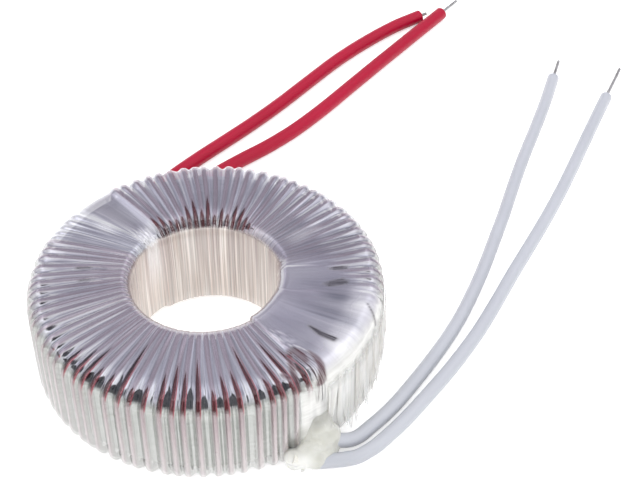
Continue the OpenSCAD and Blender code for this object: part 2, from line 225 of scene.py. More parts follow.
# Uneven tone and small scuffs, which every handled surface here has
mottle, taken, given = group(
    "uneven_tone",
    [("Vector", "NodeSocketVector", None), ("Scale", "NodeSocketFloat", 400.0), ("Detail", "NodeSocketFloat", 4.0)],
    [("Tone", "NodeSocketFloat"), ("Scuff", "NodeSocketFloat")])
broad = step(mottle, "ShaderNodeTexNoise", {"Vector": taken.outputs[0], "Scale": taken.outputs[1],
                                            "Detail": taken.outputs[2], "Roughness": 0.55})
fine_scale = sum_up("MULTIPLY", taken.outputs[1], 5.3)
fine = step(mottle, "ShaderNodeTexNoise", {"Vector": taken.outputs[0], "Scale": fine_scale, "Detail": 3.0})
mottle.links.new(ranged(broad.outputs["Fac"], 0.3, 0.7), given.inputs[0])
mottle.links.new(ranged(fine.outputs["Fac"], 0.58, 0.74), given.inputs[1])


def along(vector, axis):
    """One part of a vector, by its axis."""
    return step(vector.id_data, "ShaderNodeSeparateXYZ", {0: vector}).outputs[axis]


def grouped(used, **values):
    """The two outputs of a node group that is given these values."""
    return step(home(*values.values()), "ShaderNodeGroup", values, node_tree=used).outputs[:2]


def raised(height, depth, strength=1.0):
    """Fine relief of a depth in metres."""
    return step(height.id_data, "ShaderNodeBump", {"Height": height, "Distance": depth,
                                                   "Strength": strength}).outputs["Normal"]


def pvc(name, pale, deep, gloss, ior):
    """Extruded PVC: slightly uneven tone, fine die lines, a soft gloss and the odd scuff."""
    made, shader, spot = finish(name)
    tone, scuff = grouped(mottle, Vector=spot, Scale=45.0, Detail=2.0)
    colour = blended(tone, deep, pale)
    scuffed = sum_up("MULTIPLY", scuff, 0.05)
    feed(shader, {
        "Base Color": blended(scuffed, colour, tuple(min(1.0, c * 1.15 + 0.02) for c in pale)),
        "Roughness": ranged(scuff, 0.0, 1.0, gloss, gloss + 0.18)})
    lines = step(spot.id_data, "ShaderNodeTexNoise", {"Vector": spot, "Scale": 900.0, "Detail": 2.0})
    feed(shader, {
        "Normal": raised(lines.outputs["Fac"], 0.00006, 0.35), "IOR": ior, "Subsurface Weight": 0.12,
        "Subsurface Radius": (0.0012, 0.0012, 0.0012)})
    return made


white_pvc = pvc("white_insulation", (0.495, 0.51, 0.555), (0.46, 0.475, 0.52), 0.30, 1.52)
red_pvc = pvc("red_insulation", (0.42, 0.003, 0.034), (0.375, 0.0025, 0.028), 0.36, 1.36)

tinned, shader, spot = finish("tinned_copper")
tone, scuff = grouped(mottle, Vector=spot, Scale=900.0)
feed(shader, {
    "Base Color": blended(tone, (0.40, 0.39, 0.38), (0.66, 0.66, 0.66)),
    "Roughness": ranged(scuff, 0.0, 1.0, 0.28, 0.5),
    "Normal": raised(tone, 0.00005, 0.5), "Metallic": 1.0})

# Millimetres: where a point has no height, the lead lies on the table
leads = {
    "white_lead_1": dict(diameter=2.7, bare=7.2, finish=white_pvc, slot="white_insulation", route=[
        (18.1, -28.7, 3.9), (20.2, -27.6, 3.4), (22.4, -27, 2.2), (24.5, -26, 1.5), (26.8, -24.2), (31.9, -19.6),
        (37.3, -13.4), (43.1, -6.1), (47.9, 0.8), (52.2, 8.2), (55.7, 14.9), (59.2, 22.2), (63.1, 30.5), (67, 39.3),
        (71.2, 48.4), (75.9, 57.9), (80.7, 67.9), (84.7, 77)]),
    "white_lead_2": dict(diameter=2.7, bare=12.3, finish=white_pvc, slot="white_insulation", route=[
        (17, -30.6, 1.5), (19.6, -30.6, 1.4), (21.8, -30.5), (24, -30.2), (26.2, -29.1), (28.5, -27.5), (33.5, -23),
        (38.9, -17.3), (44.5, -11), (50.6, -3.3), (55.6, 4), (60.9, 12.2), (65.6, 19.2), (70.8, 27), (75.6, 34.6),
        (80.3, 42.5), (85.6, 51.8), (91.1, 61.4), (95.1, 68.3)]),
    "red_lead_1": dict(diameter=3.1, bare=2.2, finish=red_pvc, slot="red_insulation", route=[
        (-27.5, 20.4, 2.8), (-25.6, 25, 1.7), (-22.3, 31), (-17.6, 37.4), (-12, 43.6), (-6, 49.8), (0.3, 55.8),
        (6.8, 61.5), (13.4, 67.4), (20.4, 74.2), (27.8, 82), (35.3, 89.7), (43, 96.4), (50.7, 102.1), (57.6, 106)]),
    "red_lead_2": dict(diameter=3.1, bare=7.1, finish=red_pvc, slot="red_insulation", route=[
        (-24.8, 23.4, 5), (-21.9, 26.3, 4), (-18.6, 29.9, 2.3), (-14.8, 33.9, 1.65), (-10, 38.5), (-4, 43.8),
        (2.7, 49.2), (9.4, 54.1), (15.9, 58.5), (22.6, 63.9), (29.8, 71), (37.3, 79.1), (45.1, 87.5), (53.2, 96.1),
        (63.2, 106.7)])}


def tube_along(name, points, diameter, resolution):
    """A poly curve with a round section and closed ends."""
    data = bpy.data.curves.new(name, "CURVE")
    data.dimensions = "3D"
    data.bevel_depth = diameter / 2
    data.bevel_resolution = resolution
    data.use_fill_caps = True
    spline = data.splines.new("POLY")
    spline.points.add(len(points) - 1)
    for mark, point in zip(spline.points, points):
        mark.co = (*point, 1.0)
    made = bpy.data.objects.new(name, data)
    bpy.context.scene.collection.objects.link(made)
    return made


def smooth_route(points, between):
    """The same points joined by one smooth curve, with steps between each pair."""
    way = [Vector(p) * mm for p in points]
    way = [way[0] * 2 - way[1]] + way + [way[-1] * 2 - way[-2]]
    line = []
    for a, b, c, d in zip(way, way[1:], way[2:], way[3:]):
        for i in range(between):
            t = i / between
            line.append(0.5 * ((2 * b) + (c - a) * t + (2 * a - 5 * b + 4 * c - d) * t * t
                               + (3 * b - a - 3 * c + d) * t ** 3))
    return line + [way[-2]]


def picked(pieces, active):
    """Selects these pieces alone, with one of them active."""
    bpy.ops.object.select_all(action="DESELECT")
    for piece in pieces:
        piece.select_set(True)
    bpy.context.view_layer.objects.active = active


def joined(pieces, active, name):
    """These pieces as one, in the active one's place."""
    picked(pieces, active)
    bpy.ops.object.join()
    active.name = name
    return active


def strands(name, start, towards, length):
    """Seven tinned strands twisted together, a little loose at the cut end."""
    strand_d, off_centre, lay = 0.28, 0.275, 9.0
    ahead = towards.normalized()
    side = ahead.cross(Vector((0, 0, 1))).normalized()
    top = side.cross(ahead)
    made = []
    for number in range(7):
        turn = 2 * math.pi * number / 6
        reach = 0.0 if number == 6 else off_centre
        points = []
        for i in range(25):
            t = i / 24
            spin = turn + t * length / lay * 2 * math.pi
            spread = reach * (1 + 0.10 * math.sin(3 * t + number)) * (1 - 0.1 * t)
            reached = length * (t - 0.25 / length * (1 - t)) * mm * (1 - 0.012 * (number % 3))
            points.append(Vector(start) + ahead * reached
                          + (side * math.cos(spin) + top * math.sin(spin)) * spread * mm)
        made.append(tube_along(name + "_strand", points, strand_d * mm, 2))
    picked(made, made[0])
    bpy.ops.object.convert(target="MESH")
    return joined(made, made[0], name)


for name, lead in leads.items():
    route = [point if len(point) == 3 else (*point, lead["diameter"] / 2) for point in lead["route"]]
    line = smooth_route(route, 5)
    piece = tube_along(name + "_insulation", line, lead["diameter"] * mm, 6)
    piece.data.materials.append(lead["finish"])
    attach(piece, "root")
    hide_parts(name)
    last = Vector(route[-1]) - Vector(route[-2])
    tip = strands(name + "_strands", line[-1], last, lead["bare"])
    tip.data.materials.append(tinned)
    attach(tip, "root")
    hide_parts(name + "_tip")

# ---- Core, its washers and its tape ----
# A ring of grain-oriented steel strip wound like a clock spring, with a board washer on each end and a lapping of
# tape round the whole, so that the first winding doesn't rub on the steel's edges.


def carried(node, material):
    """Gives a CAD node its finish, where no other piece stands for it."""
    cad[node].data.materials.clear()
    cad[node].data.materials.append(material)


steel, shader, spot = finish("core_steel")
turns_of_strip = step(spot.id_data, "ShaderNodeTexWave", {
    "Vector": spot, "Scale": 520.0, "Distortion": 0.6, "Detail": 2.0}, wave_type="RINGS", rings_direction="Z")
tone = grouped(mottle, Vector=spot, Scale=260.0)[0]
colour = blended(turns_of_strip.outputs["Fac"], (0.20, 0.21, 0.22), (0.42, 0.43, 0.44))
feed(shader, {
    "Base Color": blended(sum_up("MULTIPLY", tone, 0.4), colour, (0.25, 0.22, 0.20)),
    "Roughness": ranged(tone, 0.0, 1.0, 0.3, 0.5),
    "Normal": raised(turns_of_strip.outputs["Fac"], 0.00004), "Metallic": 1.0})
carried("core", steel)

board, shader, spot = finish("washer_board")
tone = grouped(mottle, Vector=spot, Scale=700.0, Detail=6.0)[0]
feed(shader, {
    "Base Color": blended(tone, (0.36, 0.25, 0.14), (0.52, 0.39, 0.24)), "Roughness": 0.75,
    "Normal": raised(tone, 0.00005)})
carried("core_end_washer_top", board)
carried("core_end_washer_bottom", board)

# Fine lines that run one way, as the edges of lapped tape and drawn wire show them
streaks, taken, given = group(
    "fine_lines",
    [("Vector", "NodeSocketVector", None), ("Across", "NodeSocketFloat", 1.0), ("Along", "NodeSocketFloat", 1.0),
     ("Detail", "NodeSocketFloat", 5.0)],
    [("Line", "NodeSocketFloat"), ("Soft", "NodeSocketFloat")])
part = step(streaks, "ShaderNodeSeparateXYZ", {0: taken.outputs[0]})
scaled = step(streaks, "ShaderNodeCombineXYZ", {
    "X": sum_up("MULTIPLY", part.outputs["X"], taken.outputs[1]),
    "Y": sum_up("MULTIPLY", part.outputs["Y"], taken.outputs[1]),
    "Z": sum_up("MULTIPLY", part.outputs["Z"], taken.outputs[2])})
near = step(streaks, "ShaderNodeTexNoise", {"Vector": scaled.outputs[0], "Scale": 1.0, "Detail": taken.outputs[3],
                                            "Roughness": 0.6})
wide = step(streaks, "ShaderNodeTexNoise", {"Vector": scaled.outputs[0], "Scale": 0.23, "Detail": 2.0})
streaks.links.new(ranged(near.outputs["Fac"], 0.36, 0.64), given.inputs[0])
streaks.links.new(ranged(wide.outputs["Fac"], 0.35, 0.65), given.inputs[1])

tape, shader, spot = finish("core_tape")
lap_line, lap_soft = grouped(streaks, Vector=spot, Across=90.0, Along=1500.0)
feed(shader, {
    "Base Color": blended(lap_line, (0.30, 0.20, 0.09), (0.55, 0.43, 0.24)),
    "Roughness": ranged(lap_soft, 0.0, 1.0, 0.22, 0.42), "Normal": raised(lap_line, 0.00004)})
carried("core_tape", tape)

# ---- Primary winding and its insulation ----
# Many layers of thin enamelled wire, laid round the whole ring, and over them lapped turns of milky polyester film
# that keep the two windings apart. Only the film shows, between the turns of the outer winding.

fine_wire, shader, spot = finish("primary_wire")
wire_line, wire_soft = grouped(streaks, Vector=spot, Across=1400.0, Along=120.0)
feed(shader, {
    "Base Color": blended(wire_line, (0.18, 0.035, 0.02), (0.48, 0.16, 0.09)),
    "Roughness": ranged(wire_soft, 0.0, 1.0, 0.25, 0.4), "Normal": raised(wire_line, 0.0001),
    "Metallic": 0.7})
carried("primary_winding", fine_wire)

milky, shader, spot = finish("milky_film")
part = step(spot.id_data, "ShaderNodeSeparateXYZ", {0: spot})
radius = step(spot.id_data, "ShaderNodeVectorMath", {0: step(spot.id_data, "ShaderNodeCombineXYZ", {
    "X": part.outputs["X"], "Y": part.outputs["Y"]}).outputs[0]}, operation="LENGTH").outputs["Value"]
lap_line, lap_soft = grouped(streaks, Vector=spot, Across=60.0, Along=3200.0)
in_hole = ranged(radius, 0.0165, 0.0156)
on_top = ranged(part.outputs["Z"], 0.0160, 0.0176)
# Painted shade: the top is painted near black. Where the wrap above it is made clear, at the front corner and at the
# back rim of the hole, it shows as the dark that the film mirrors there. The wall and the hole keep the film's own
# colours.
shade_dark_top = blended(lap_soft, (0.034, 0.037, 0.046), (0.066, 0.066, 0.080))
wall = blended(lap_line, (0.70, 0.73, 0.69), (0.86, 0.88, 0.85))
hole = blended(lap_soft, (0.84, 0.75, 0.68), (0.97, 0.92, 0.86))
side = blended(in_hole, wall, hole)
feed(shader, {
    "Base Color": blended(on_top, side, shade_dark_top), "Roughness": ranged(lap_line, 0.0, 1.0, 0.24, 0.40),
    "Normal": raised(lap_line, 0.00004)})
carried("primary_insulation", milky)

# ---- Secondary winding ----
# One long length of thick enamelled copper wire, wound radially through the hole in 76 turns. The turns stand apart
# on the outside, some in pairs, and lie nearly side by side in the hole.

# Millimetres and degrees: the wire, its turns, the ring's middle height and the radius of the wrapped wall
wire_d = 0.9
turns = 76
first_turn, bare_angle, turn_lean, turn_stray = 122.0, 34.5, 2.1, 0.55
turn_pitch = (360 - bare_angle) / (turns - 1)
mid_z = 10.0
ring_r = 32.5
wire_in_hole_r, wire_at_wall_r = 14.6, 31.75


def stray(i):
    return turn_stray * (math.sin(math.radians(97.3 * i)) + 0.6 * math.sin(math.radians(41.7 * i + 20)))


def outer_angle(i):
    return first_turn - turn_pitch * i + stray(i)


def hole_angle(i):
    return first_turn - turn_pitch * i - turn_lean + 0.25 * stray(i)


def ring_outline(hole_r, edge_r, hole_half, edge_half, shoulder, foot, edge, steps, flats):
    """Points (r, z, outward r, outward z, place) round the section of the ring, from the foot of the wall up and over.
    Place runs 0 to 1 up the wall and its corners, 1 to 2 over the top, 2 to 3 down the hole, 3 to 4 underneath."""
    def arc(r, z, size, start, count, low, high):
        angles = [math.radians(start + 90 * i / count) for i in range(count + 1)]
        return [(r + size * math.cos(a), z + size * math.sin(a), math.cos(a), math.sin(a),
                 low + (high - low) * i / count) for i, a in enumerate(angles)]

    corners = [arc(edge_r - edge, edge - edge_half, edge, -90, steps, 0.0, 0.3),
               arc(edge_r - edge, edge_half - edge, edge, 0, steps, 0.7, 1.0),
               arc(hole_r + shoulder, hole_half - shoulder, shoulder, 90, steps, 2.0, 2.3),
               arc(hole_r + foot, foot - hole_half, foot, 180, steps, 2.7, 3.0)]
    line = []
    for corner, after, count in zip(corners, corners[1:] + corners[:1], flats):
        line += corner
        a, b = corner[-1], after[0]
        ahead = b[4] if b[4] > a[4] else b[4] + 4
        for i in range(1, count):
            t = i / count
            line.append(tuple(a[k] + (b[k] - a[k]) * t for k in range(4)) + (a[4] + (ahead - a[4]) * t,))
    return np.array(line)


def turn_angle(i, place):
    """The angle of turn i at a place round the section: it leans between the wall and the hole."""
    outside, inside = outer_angle(i), hole_angle(i)
    lean = np.interp(place, [0, 1, 2, 3, 4], [0, 0, 1, 1, 0])
    under = np.interp(place, [0, 1, 2, 3, 4], [0, 0, 0, 0, 1])
    return outside + (inside - outside) * lean + (outer_angle(i + 1) - outside) * under


def at_back(angle):
    """1 at the far side of the hole, where the turns bend over its rim in a wider curve, 0 round the rest."""
    t = np.clip((46 - np.abs(np.asarray(angle) - 94)) / 22, 0, 1)
    return t * t * (3 - 2 * t)


path_points = []
for i in range(turns + 1):
    shoulder = 1.6 + 1.7 * float(at_back(hole_angle(i)))
    for r, z, _, _, place in ring_outline(
            wire_in_hole_r, wire_at_wall_r, 9.2, 9.15, shoulder, 1.6, 2.6, 6, (4, 5, 4, 5)):
        if i == 0 and place < 0.7 or i == turns and place > 0.31:
            continue
        angle = math.radians(float(turn_angle(i, place)))
        path_points.append(Vector((r * math.cos(angle), r * math.sin(angle), z + mid_z)) * mm)


def polar(angle, r, z):
    a = math.radians(angle)
    return Vector((r * math.cos(a), r * math.sin(a), z)) * mm


path_points = ([polar(144.4, 33.8, 5.7), polar(143, 31.7, 6)]
               + [polar(143 - 3 * s, 31.7, 6 + 0.4 * s) for s in range(1, 6)]
               + [polar(a, 31.7, z) for a, z in (
                   (125.6, 8.5), (124.0, 9.3), (123.0, 10.4), (122.6, 11.8), (122.3, 13.6))]
               + path_points + [polar(150.6, 33.8, 4.3)])
winding = tube_along("secondary_wire", path_points, wire_d * mm, 3)
picked([winding], winding)
bpy.ops.object.convert(target="MESH")
bpy.ops.object.shade_smooth()

enamel, shader, spot = finish("secondary_wire")
tone, scuff = grouped(mottle, Vector=spot, Scale=180.0)
feed(shader, {
    "Base Color": blended(tone, (0.055, 0.001, 0.004), (0.12, 0.002, 0.007)),
    "Roughness": ranged(scuff, 0.0, 1.0, 0.12, 0.3),
    "Normal": raised(tone, 0.00005, 0.4), "Metallic": 0.45, "Coat Weight": 0.6,
    "Coat Roughness": 0.08})
winding.data.materials.append(enamel)
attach(winding, "root")
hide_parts("secondary_winding")

# ---- Insulating pad ----
# A stiff sheet of clear film laid over the turns above the white leads, where their joints are, before the wrap
# goes on. It makes the wrap lie smooth there.

pad, shader, spot = finish("pad_film")
tone = grouped(mottle, Vector=spot, Scale=90.0)[0]
feed(shader, {
    "Base Color": blended(tone, (0.30, 0.28, 0.35), (0.44, 0.42, 0.50)),
    "Roughness": ranged(tone, 0.0, 1.0, 0.10, 0.22), "Alpha": 0.16})
carried("insulating_pad", pad)

# ---- Outer wrap ----
# Clear polyester film wound tightly round the ring through the hole, many layers deep. It is drawn taut over every
# turn of the wire and dips between them, lies smooth over the pad, and sags where the winding has a gap.


def applied(piece, name, kind, **settings):
    """One modifier put on the active piece and applied."""
    used = piece.modifiers.new(name, kind)
    for title, value in settings.items():
        setattr(used, title, value)
    bpy.ops.object.modifier_apply(modifier=name)


def written(piece, title, values):
    """One value for each of a piece's points, which its finish reads back by the title."""
    values = np.asarray(values, dtype=np.float32)
    kind, key = ("FLOAT", "value") if values.ndim == 1 else ("FLOAT_VECTOR", "vector")
    piece.data.attributes.new(title, kind, "POINT").data.foreach_set(key, values.ravel())



film_line = ring_outline(13.6, ring_r, 10.0, 9.95, 2.2, 1.4, 3.1, 11, (11, 18, 11, 14))
around = 1020
bpy.ops.object.select_all(action="DESELECT")
bpy.ops.mesh.primitive_circle_add(vertices=len(film_line), radius=0.004, location=(0, 0, 0))
film = bpy.context.active_object
film.name = "wrap_film"
for vertex, (r, z, _, _, _) in zip(film.data.vertices, film_line):
    vertex.co = Vector((r, 0, z + mid_z)) * mm
applied(film, "lathe", "SCREW", angle=2 * math.pi, steps=around, render_steps=around, use_merge_vertices=True,
        merge_threshold=0.000002)
bpy.ops.object.mode_set(mode="EDIT")
bpy.ops.mesh.select_all(action="SELECT")
bpy.ops.mesh.normals_make_consistent(inside=False)
bpy.ops.object.mode_set(mode="OBJECT")

points = np.empty(len(film.data.vertices) * 3)
film.data.vertices.foreach_get("co", points)
points = points.reshape(-1, 3) / mm
angle = np.degrees(np.arctan2(points[:, 1], points[:, 0]))
radius = np.hypot(points[:, 0], points[:, 1])
row = np.argmin((radius[:, None] - film_line[None, :, 0]) ** 2
                + (points[:, 2:3] - mid_z - film_line[None, :, 1]) ** 2, axis=1)
out_r, out_z, place = film_line[row, 2], film_line[row, 3], film_line[row, 4]


def turned(a):
    """An angle difference brought to -180 to 180 degrees."""
    return (a + 180) % 360 - 180


def between(value, low, high):
    """0 below low, 1 above high, smooth in the middle."""
    t = np.clip((value - low) / (high - low), 0, 1)
    return t * t * (3 - 2 * t)


upper = between(place, 0.55, 0.95) * (1 - between(place, 2.2, 2.6))

# How high the film stands over the wires: 1 on a turn, 0 midway between two that are well apart. Over the gap in
# the winding five pleats of film stand in for turns.
pick = np.random.RandomState(12)
ridge = np.zeros(len(points))
off_wire = np.full(len(points), 2.0)
off_shade = np.full(len(points), 2.0)
flame_long, tooth_long, shade_long = (np.full(len(points), 0.0005) for _ in range(3))
side = np.full(len(points), 2.0)
for i in range(turns + 1):
    signed = turned(angle - turn_angle(i, place)) * math.pi / 180 * radius
    off = np.abs(signed)
    if i == 0:
        off = np.where(place < 0.6, 99, off)
    if i == turns:
        off = np.where(place > 0.34, 99, off)
    height = 1 - pick.uniform(0.0, 0.45) * between(place, 1.0, 1.25) * (1 - between(place, 1.7, 2.0))
    ridge = np.maximum(ridge, height * np.exp(-(np.maximum(0, off - 0.28) / pick.uniform(0.55, 0.72)) ** 2))
    outside, inside = outer_angle(i), hole_angle(i)
    at_front = min(1.0, max(0.0, turned(outside + 152) / 30)) * min(1.0, max(0.0, (-58 - turned(outside)) / 3))
    flame = 0.0005 + at_front * pick.choice([0.12, 0.2, 0.3, 0.42, 0.6, 0.85]) * pick.uniform(0.8, 1.1)
    tooth = 0.0005 + float(at_back(inside)) * pick.choice([0.18, 0.28, 0.38, 0.46, 0.56]) * pick.uniform(0.8, 1.1)
    nearest = off < off_wire
    flame_long[nearest], tooth_long[nearest], side[nearest] = flame, tooth, signed[nearest]
    off_wire = np.minimum(off_wire, off)
    beside = np.abs(signed - pick.choice([-1.0, 1.0]))
    nearest = beside < off_shade
    shade_long[nearest] = 0.0005 + at_front * pick.choice([0.06, 0.10, 0.14, 0.19, 0.26])
    off_shade = np.minimum(off_shade, beside)
for pleat in (141.5, 145.0, 148.0, 151.0, 154.0):
    off = np.abs(turned(angle - pleat + turn_lean * np.clip(place - 1, 0, 1))) * math.pi / 180 * radius
    ridge = np.maximum(ridge, pick.uniform(0.5, 0.9) * upper * np.exp(-(np.maximum(0, off - 0.2) / 0.55) ** 2))

# The smooth part of the gap in the winding, and the pad's sector
along_gap = turned(angle - 122.8 + turn_lean * np.clip(place - 1, 0, 1)) / 17.0
gap = np.sin(math.pi * np.clip(along_gap, 0, 1)) ** 1.1
pad_end = 13 - 20 * (1 - between(place, 0.95, 1.7))
in_pad = between(turned(angle + 60), 0, 4) * between(-turned(angle - pad_end), 0, 15)
in_pad = in_pad * between(place, 0.16, 0.30) * (1 - between(place, 2.2, 2.65))
at_wall = between(turned(angle + 66), 0, 4) * between(-turned(angle - 13), 0, 15) * between(place, 0.05, 0.25)
at_wall = at_wall * (1 - between(place, 0.62, 0.82))
lifted = between(turned(angle + 30), 0, 14) * between(-turned(angle - 52), 0, 22)
lift_start = 1.25 + 0.004 * np.clip(turned(angle), 0, 60)
lifted = 0.85 * lifted * between(place, lift_start, 1.62) * (1 - between(place, 2.1, 2.3))
level = np.maximum(np.maximum(in_pad, lifted), at_wall)


def waves(seed, low, high, count, drift):
    """Seeded ripples round the ring, which change slowly round the section."""
    pick = np.random.RandomState(seed)
    made = np.zeros(len(points))
    for _ in range(count):
        k, start, slow = pick.randint(low, high), pick.uniform(0, 2 * math.pi), pick.uniform(-drift, drift)
        made += np.sin(k * np.radians(angle) + start + slow * place + 0.8 * np.sin(place * pick.uniform(1, 3) + start))
    return made / math.sqrt(count)


depth = np.interp(place, [0, 0.15, 0.35, 0.75, 0.95, 1.2, 1.8, 2.05, 2.3, 2.9, 3.1, 3.9, 4],
                  [0.15, 0.8, 0.95, 0.85, 0.50, 0.22, 0.17, 0.36, 0.5, 0.5, 0.1, 0.05, 0.15])
bare_wall = between(turned(angle - 121.0), 0, 2.5) * between(-turned(angle - 156.5), 0, 2.5)
bare_wall = bare_wall * (1 - between(place, 0.7, 1.0))
tent = depth * (1 - ridge) * (1 - 0.9 * level) * (1 - 0.75 * gap * upper) * (1 - 0.8 * bare_wall)
back_rim = at_back(angle)
rim_drop = back_rim * np.interp(place, [0, 1.5, 1.75, 1.88, 1.94, 2.0, 2.15, 2.3, 2.45, 4],
                                [0, 0, 0.10, 0.2, 0.36, 0.62, 0.8, 0.35, 0, 0])
sag = 0.55 * gap * np.interp(place, [0, 0.6, 0.9, 1.1, 1.9, 2.1, 2.3, 4], [0, 0, 0.6, 1, 1, 0.7, 0, 0])
pleats = upper * (0.055 * waves(4, 30, 80, 9, 1.2) + 0.018 * waves(5, 90, 170, 9, 1.5)) * (1 - level)
tent = tent + sag + pleats * (0.45 + 0.55 * (1 - ridge)) * (1 - gap)
tent = tent + 0.012 * waves(7, 14, 40, 6, 5.0) * gap * upper + rim_drop + 0.35 * back_rim * (1 - ridge) * (
    between(place, 1.8, 2.05) - between(place, 2.2, 2.5))
front_ease = between(turned(angle + 178), 0, 25) * between(-turned(angle + 50), 0, 8)
tent = tent + front_ease * np.interp(place, [0, 0.6, 0.72, 0.86, 1.0, 1.14, 4], [0, 0, 0.12, 0.36, 0.26, 0, 0])
tent = tent + lifted * np.interp(place, [0, 1.5, 2.0, 2.2, 2.4, 4], [0, 0, 0.22, 0.3, 0, 0])
loose_fit = np.tanh(0.8 * waves(6, 7, 16, 6, 3.0) + 0.25 * waves(9, 20, 44, 6, 5.0))
tent = tent + (0.10 + 0.085 * loose_fit) * in_pad * upper

# Blisters in the smooth part, over the pad's edge, and the crumpled film at the hole beside the gap


def blister(angle_at, r, z_low, long, wide, height):
    """A raised oval in the film over a place on the top, with its long way along the radius."""
    far = np.hypot((radius - r) / long, turned(angle - angle_at) * math.pi / 180 * radius / wide)
    return height * np.sqrt(np.clip(1 - far ** 2, 0, 1)) * (points[:, 2] > z_low)


creased = blister(170.5, 20.6, 18, 2.2, 0.55, 0.28) + blister(178.5, 20.2, 18, 2.0, 0.5, 0.25)
blisters = (blister(-56.6, 28.6, 14, 4.6, 1.9, 0.6) + blister(-55.4, 21.1, 18, 0.95, 0.9, 0.25)
            + blister(-57.2, 19.4, 18, 0.55, 0.5, 0.16) + blister(-53.0, 22.8, 18, 0.5, 0.7, 0.16))
crumpled = between(turned(angle - 124), 0, 4) * between(-turned(angle - 141), 0, 4) * between(place, 1.75, 2.0)
crumpled = crumpled * (1 - between(place, 2.35, 2.6))
creases = (np.sin(0.9 * angle + 9 * place) * np.sin(31 * place + 0.35 * angle) + np.sin(2.3 * angle - 14 * place))
tent = tent + 0.13 * crumpled * creases - blisters - creased

tent = np.where(tent < 0, tent * 0.35, tent)
tent = np.minimum(tent, 1.15 - 0.98 * in_pad) - 0.19 * in_pad - np.where(blisters > 0, 0.3 * blisters, 0)
rim_push = 0.6 * in_pad * between(place, 1.9, 2.1)
low_side = (points[:, 2] < 0.6) & (out_z < -0.5)
tent = np.where(low_side, np.maximum(tent, 0.0), tent) - rim_push * np.clip(-out_r, 0, 1)
points[:, 2] = np.minimum(points[:, 2] - out_z * tent, 20.19)
reach = radius - out_r * tent
points[:, 0] = reach * np.cos(np.radians(angle))
points[:, 1] = reach * np.sin(np.radians(angle))
film.data.vertices.foreach_set("co", (points * mm).ravel())

# Where the film clings to what is under it there is no gloss, and the red and the dark below show. The purple-grey
# smears away from the lead side of the pad are painted reflections of dark shapes, laid on in the same way
clinging_and_dark_reflection = np.zeros(len(points))
flat_x, flat_y = radius * np.cos(np.radians(angle)), radius * np.sin(np.radians(angle))
for line, wide in [
        ([(13.2, -21.7), (13.2, -24.1), (13.5, -26.1), (14.0, -27.8), (14.6, -29.1)], (0.6, 0.5, 0.6, 0.7, 0.5)),
        ([(14.0, -20.9), (15.2, -22.4), (16.0, -24.0)], (0.6, 0.8, 0.5)),
        ([(16.6, -21.6), (17.6, -23.0), (18.2, -24.6), (18.3, -26.0), (17.6, -27.3)], (0.3, 0.6, 0.8, 0.75, 0.4)),
        ([(17.9, -27.8), (18.6, -28.5)], (0.3, 0.4)),
        ([(17.2, -15.3), (19.0, -17.5), (21.2, -19.1)], (0.25, 0.55, 0.6)),
        ([(11.6, -26.2), (12.6, -27.0)], (0.3, 0.5)),
        ([(28.0, -11.0), (28.8, -12.9), (29.2, -15.4)], (0.15, 0.2, 0.15)),
        ([(23.0, -1.5), (25.2, -1.4)], (0.5, 0.6)), ([(21.8, -5.4), (24.4, -5.1)], (0.7, 0.9)),
        ([(-20.9, 3.6), (-23.4, 3.9)], (0.35, 0.3)), ([(-20.6, 0.4), (-22.8, 0.6)], (0.3, 0.25))]:
    for (x0, y0), (x1, y1), w0, w1 in zip(line, line[1:], wide, wide[1:]):
        t = ((flat_x - x0) * (x1 - x0) + (flat_y - y0) * (y1 - y0)) / ((x1 - x0) ** 2 + (y1 - y0) ** 2)
        t = np.clip(t, 0, 1)
        far = np.hypot(flat_x - x0 - t * (x1 - x0), flat_y - y0 - t * (y1 - y0))
        mark = np.clip((w0 + (w1 - w0) * t - far) / 0.38 + 0.5, 0, 1)
        clinging_and_dark_reflection = np.maximum(clinging_and_dark_reflection, mark * (place > 0.75) * (place < 2))

# Painted light: soft bright patches stand in for highlights that the film mirrors, and grey ones for shade and dark
# that it mirrors
painted_sheen_and_shade = np.zeros(len(points))
for x, y, long, wide, heading, much in [
        (26.6, -11.4, 3.2, 1.7, -20, 1.0), (21.9, -20.8, 4.0, 2.0, -47, 0.9), (28.6, -8.0, 2.4, 1.2, -15, 0.5),
        (23.6, -9.0, 3.6, 1.7, -30, -0.8), (24.8, -5.2, 3.4, 1.2, -12, -0.7), (20.0, -13.6, 4.6, 1.6, -38, -0.35),
        (14.6, -16.6, 3.2, 3.0, -50, -0.25), (17.2, -20.4, 2.6, 1.4, -52, -0.45), (19.2, 8.6, 5.0, 2.4, 30, 0.6),
        (24.8, 4.6, 5.0, 2.6, 12, -0.45), (27.2, 9.5, 3.4, 2.4, 22, -0.4), (17.6, -7.4, 3.0, 1.6, -24, 0.35),
        (22.2, -13.6, 4.5, 1.5, -32, -0.6), (19.6, -17.2, 3.6, 1.3, -42, -0.5), (25.2, -15.8, 2.2, 1.0, -32, -0.45),
        (19.5, -5.0, 3.5, 1.4, -15, -0.3), (21.5, -10.5, 7.0, 6.0, -30, -0.42), (23.5, 6.0, 6.0, 6.0, 14, -0.25),
        (-22.5, -1.0, 3.0, 3.4, 180, -0.35), (-17.8, 14.6, 3.0, 1.6, 140, 0.7), (-21.0, 18.0, 3.0, 1.8, 140, 0.3)]:
    c, s = math.cos(math.radians(heading)), math.sin(math.radians(heading))
    far = np.hypot(((flat_x - x) * c + (flat_y - y) * s) / long, ((flat_y - y) * c - (flat_x - x) * s) / wide)
    painted_sheen_and_shade += much * np.exp(-far ** 2 * 1.2) * (place > 0.7) * (place < 2.3)
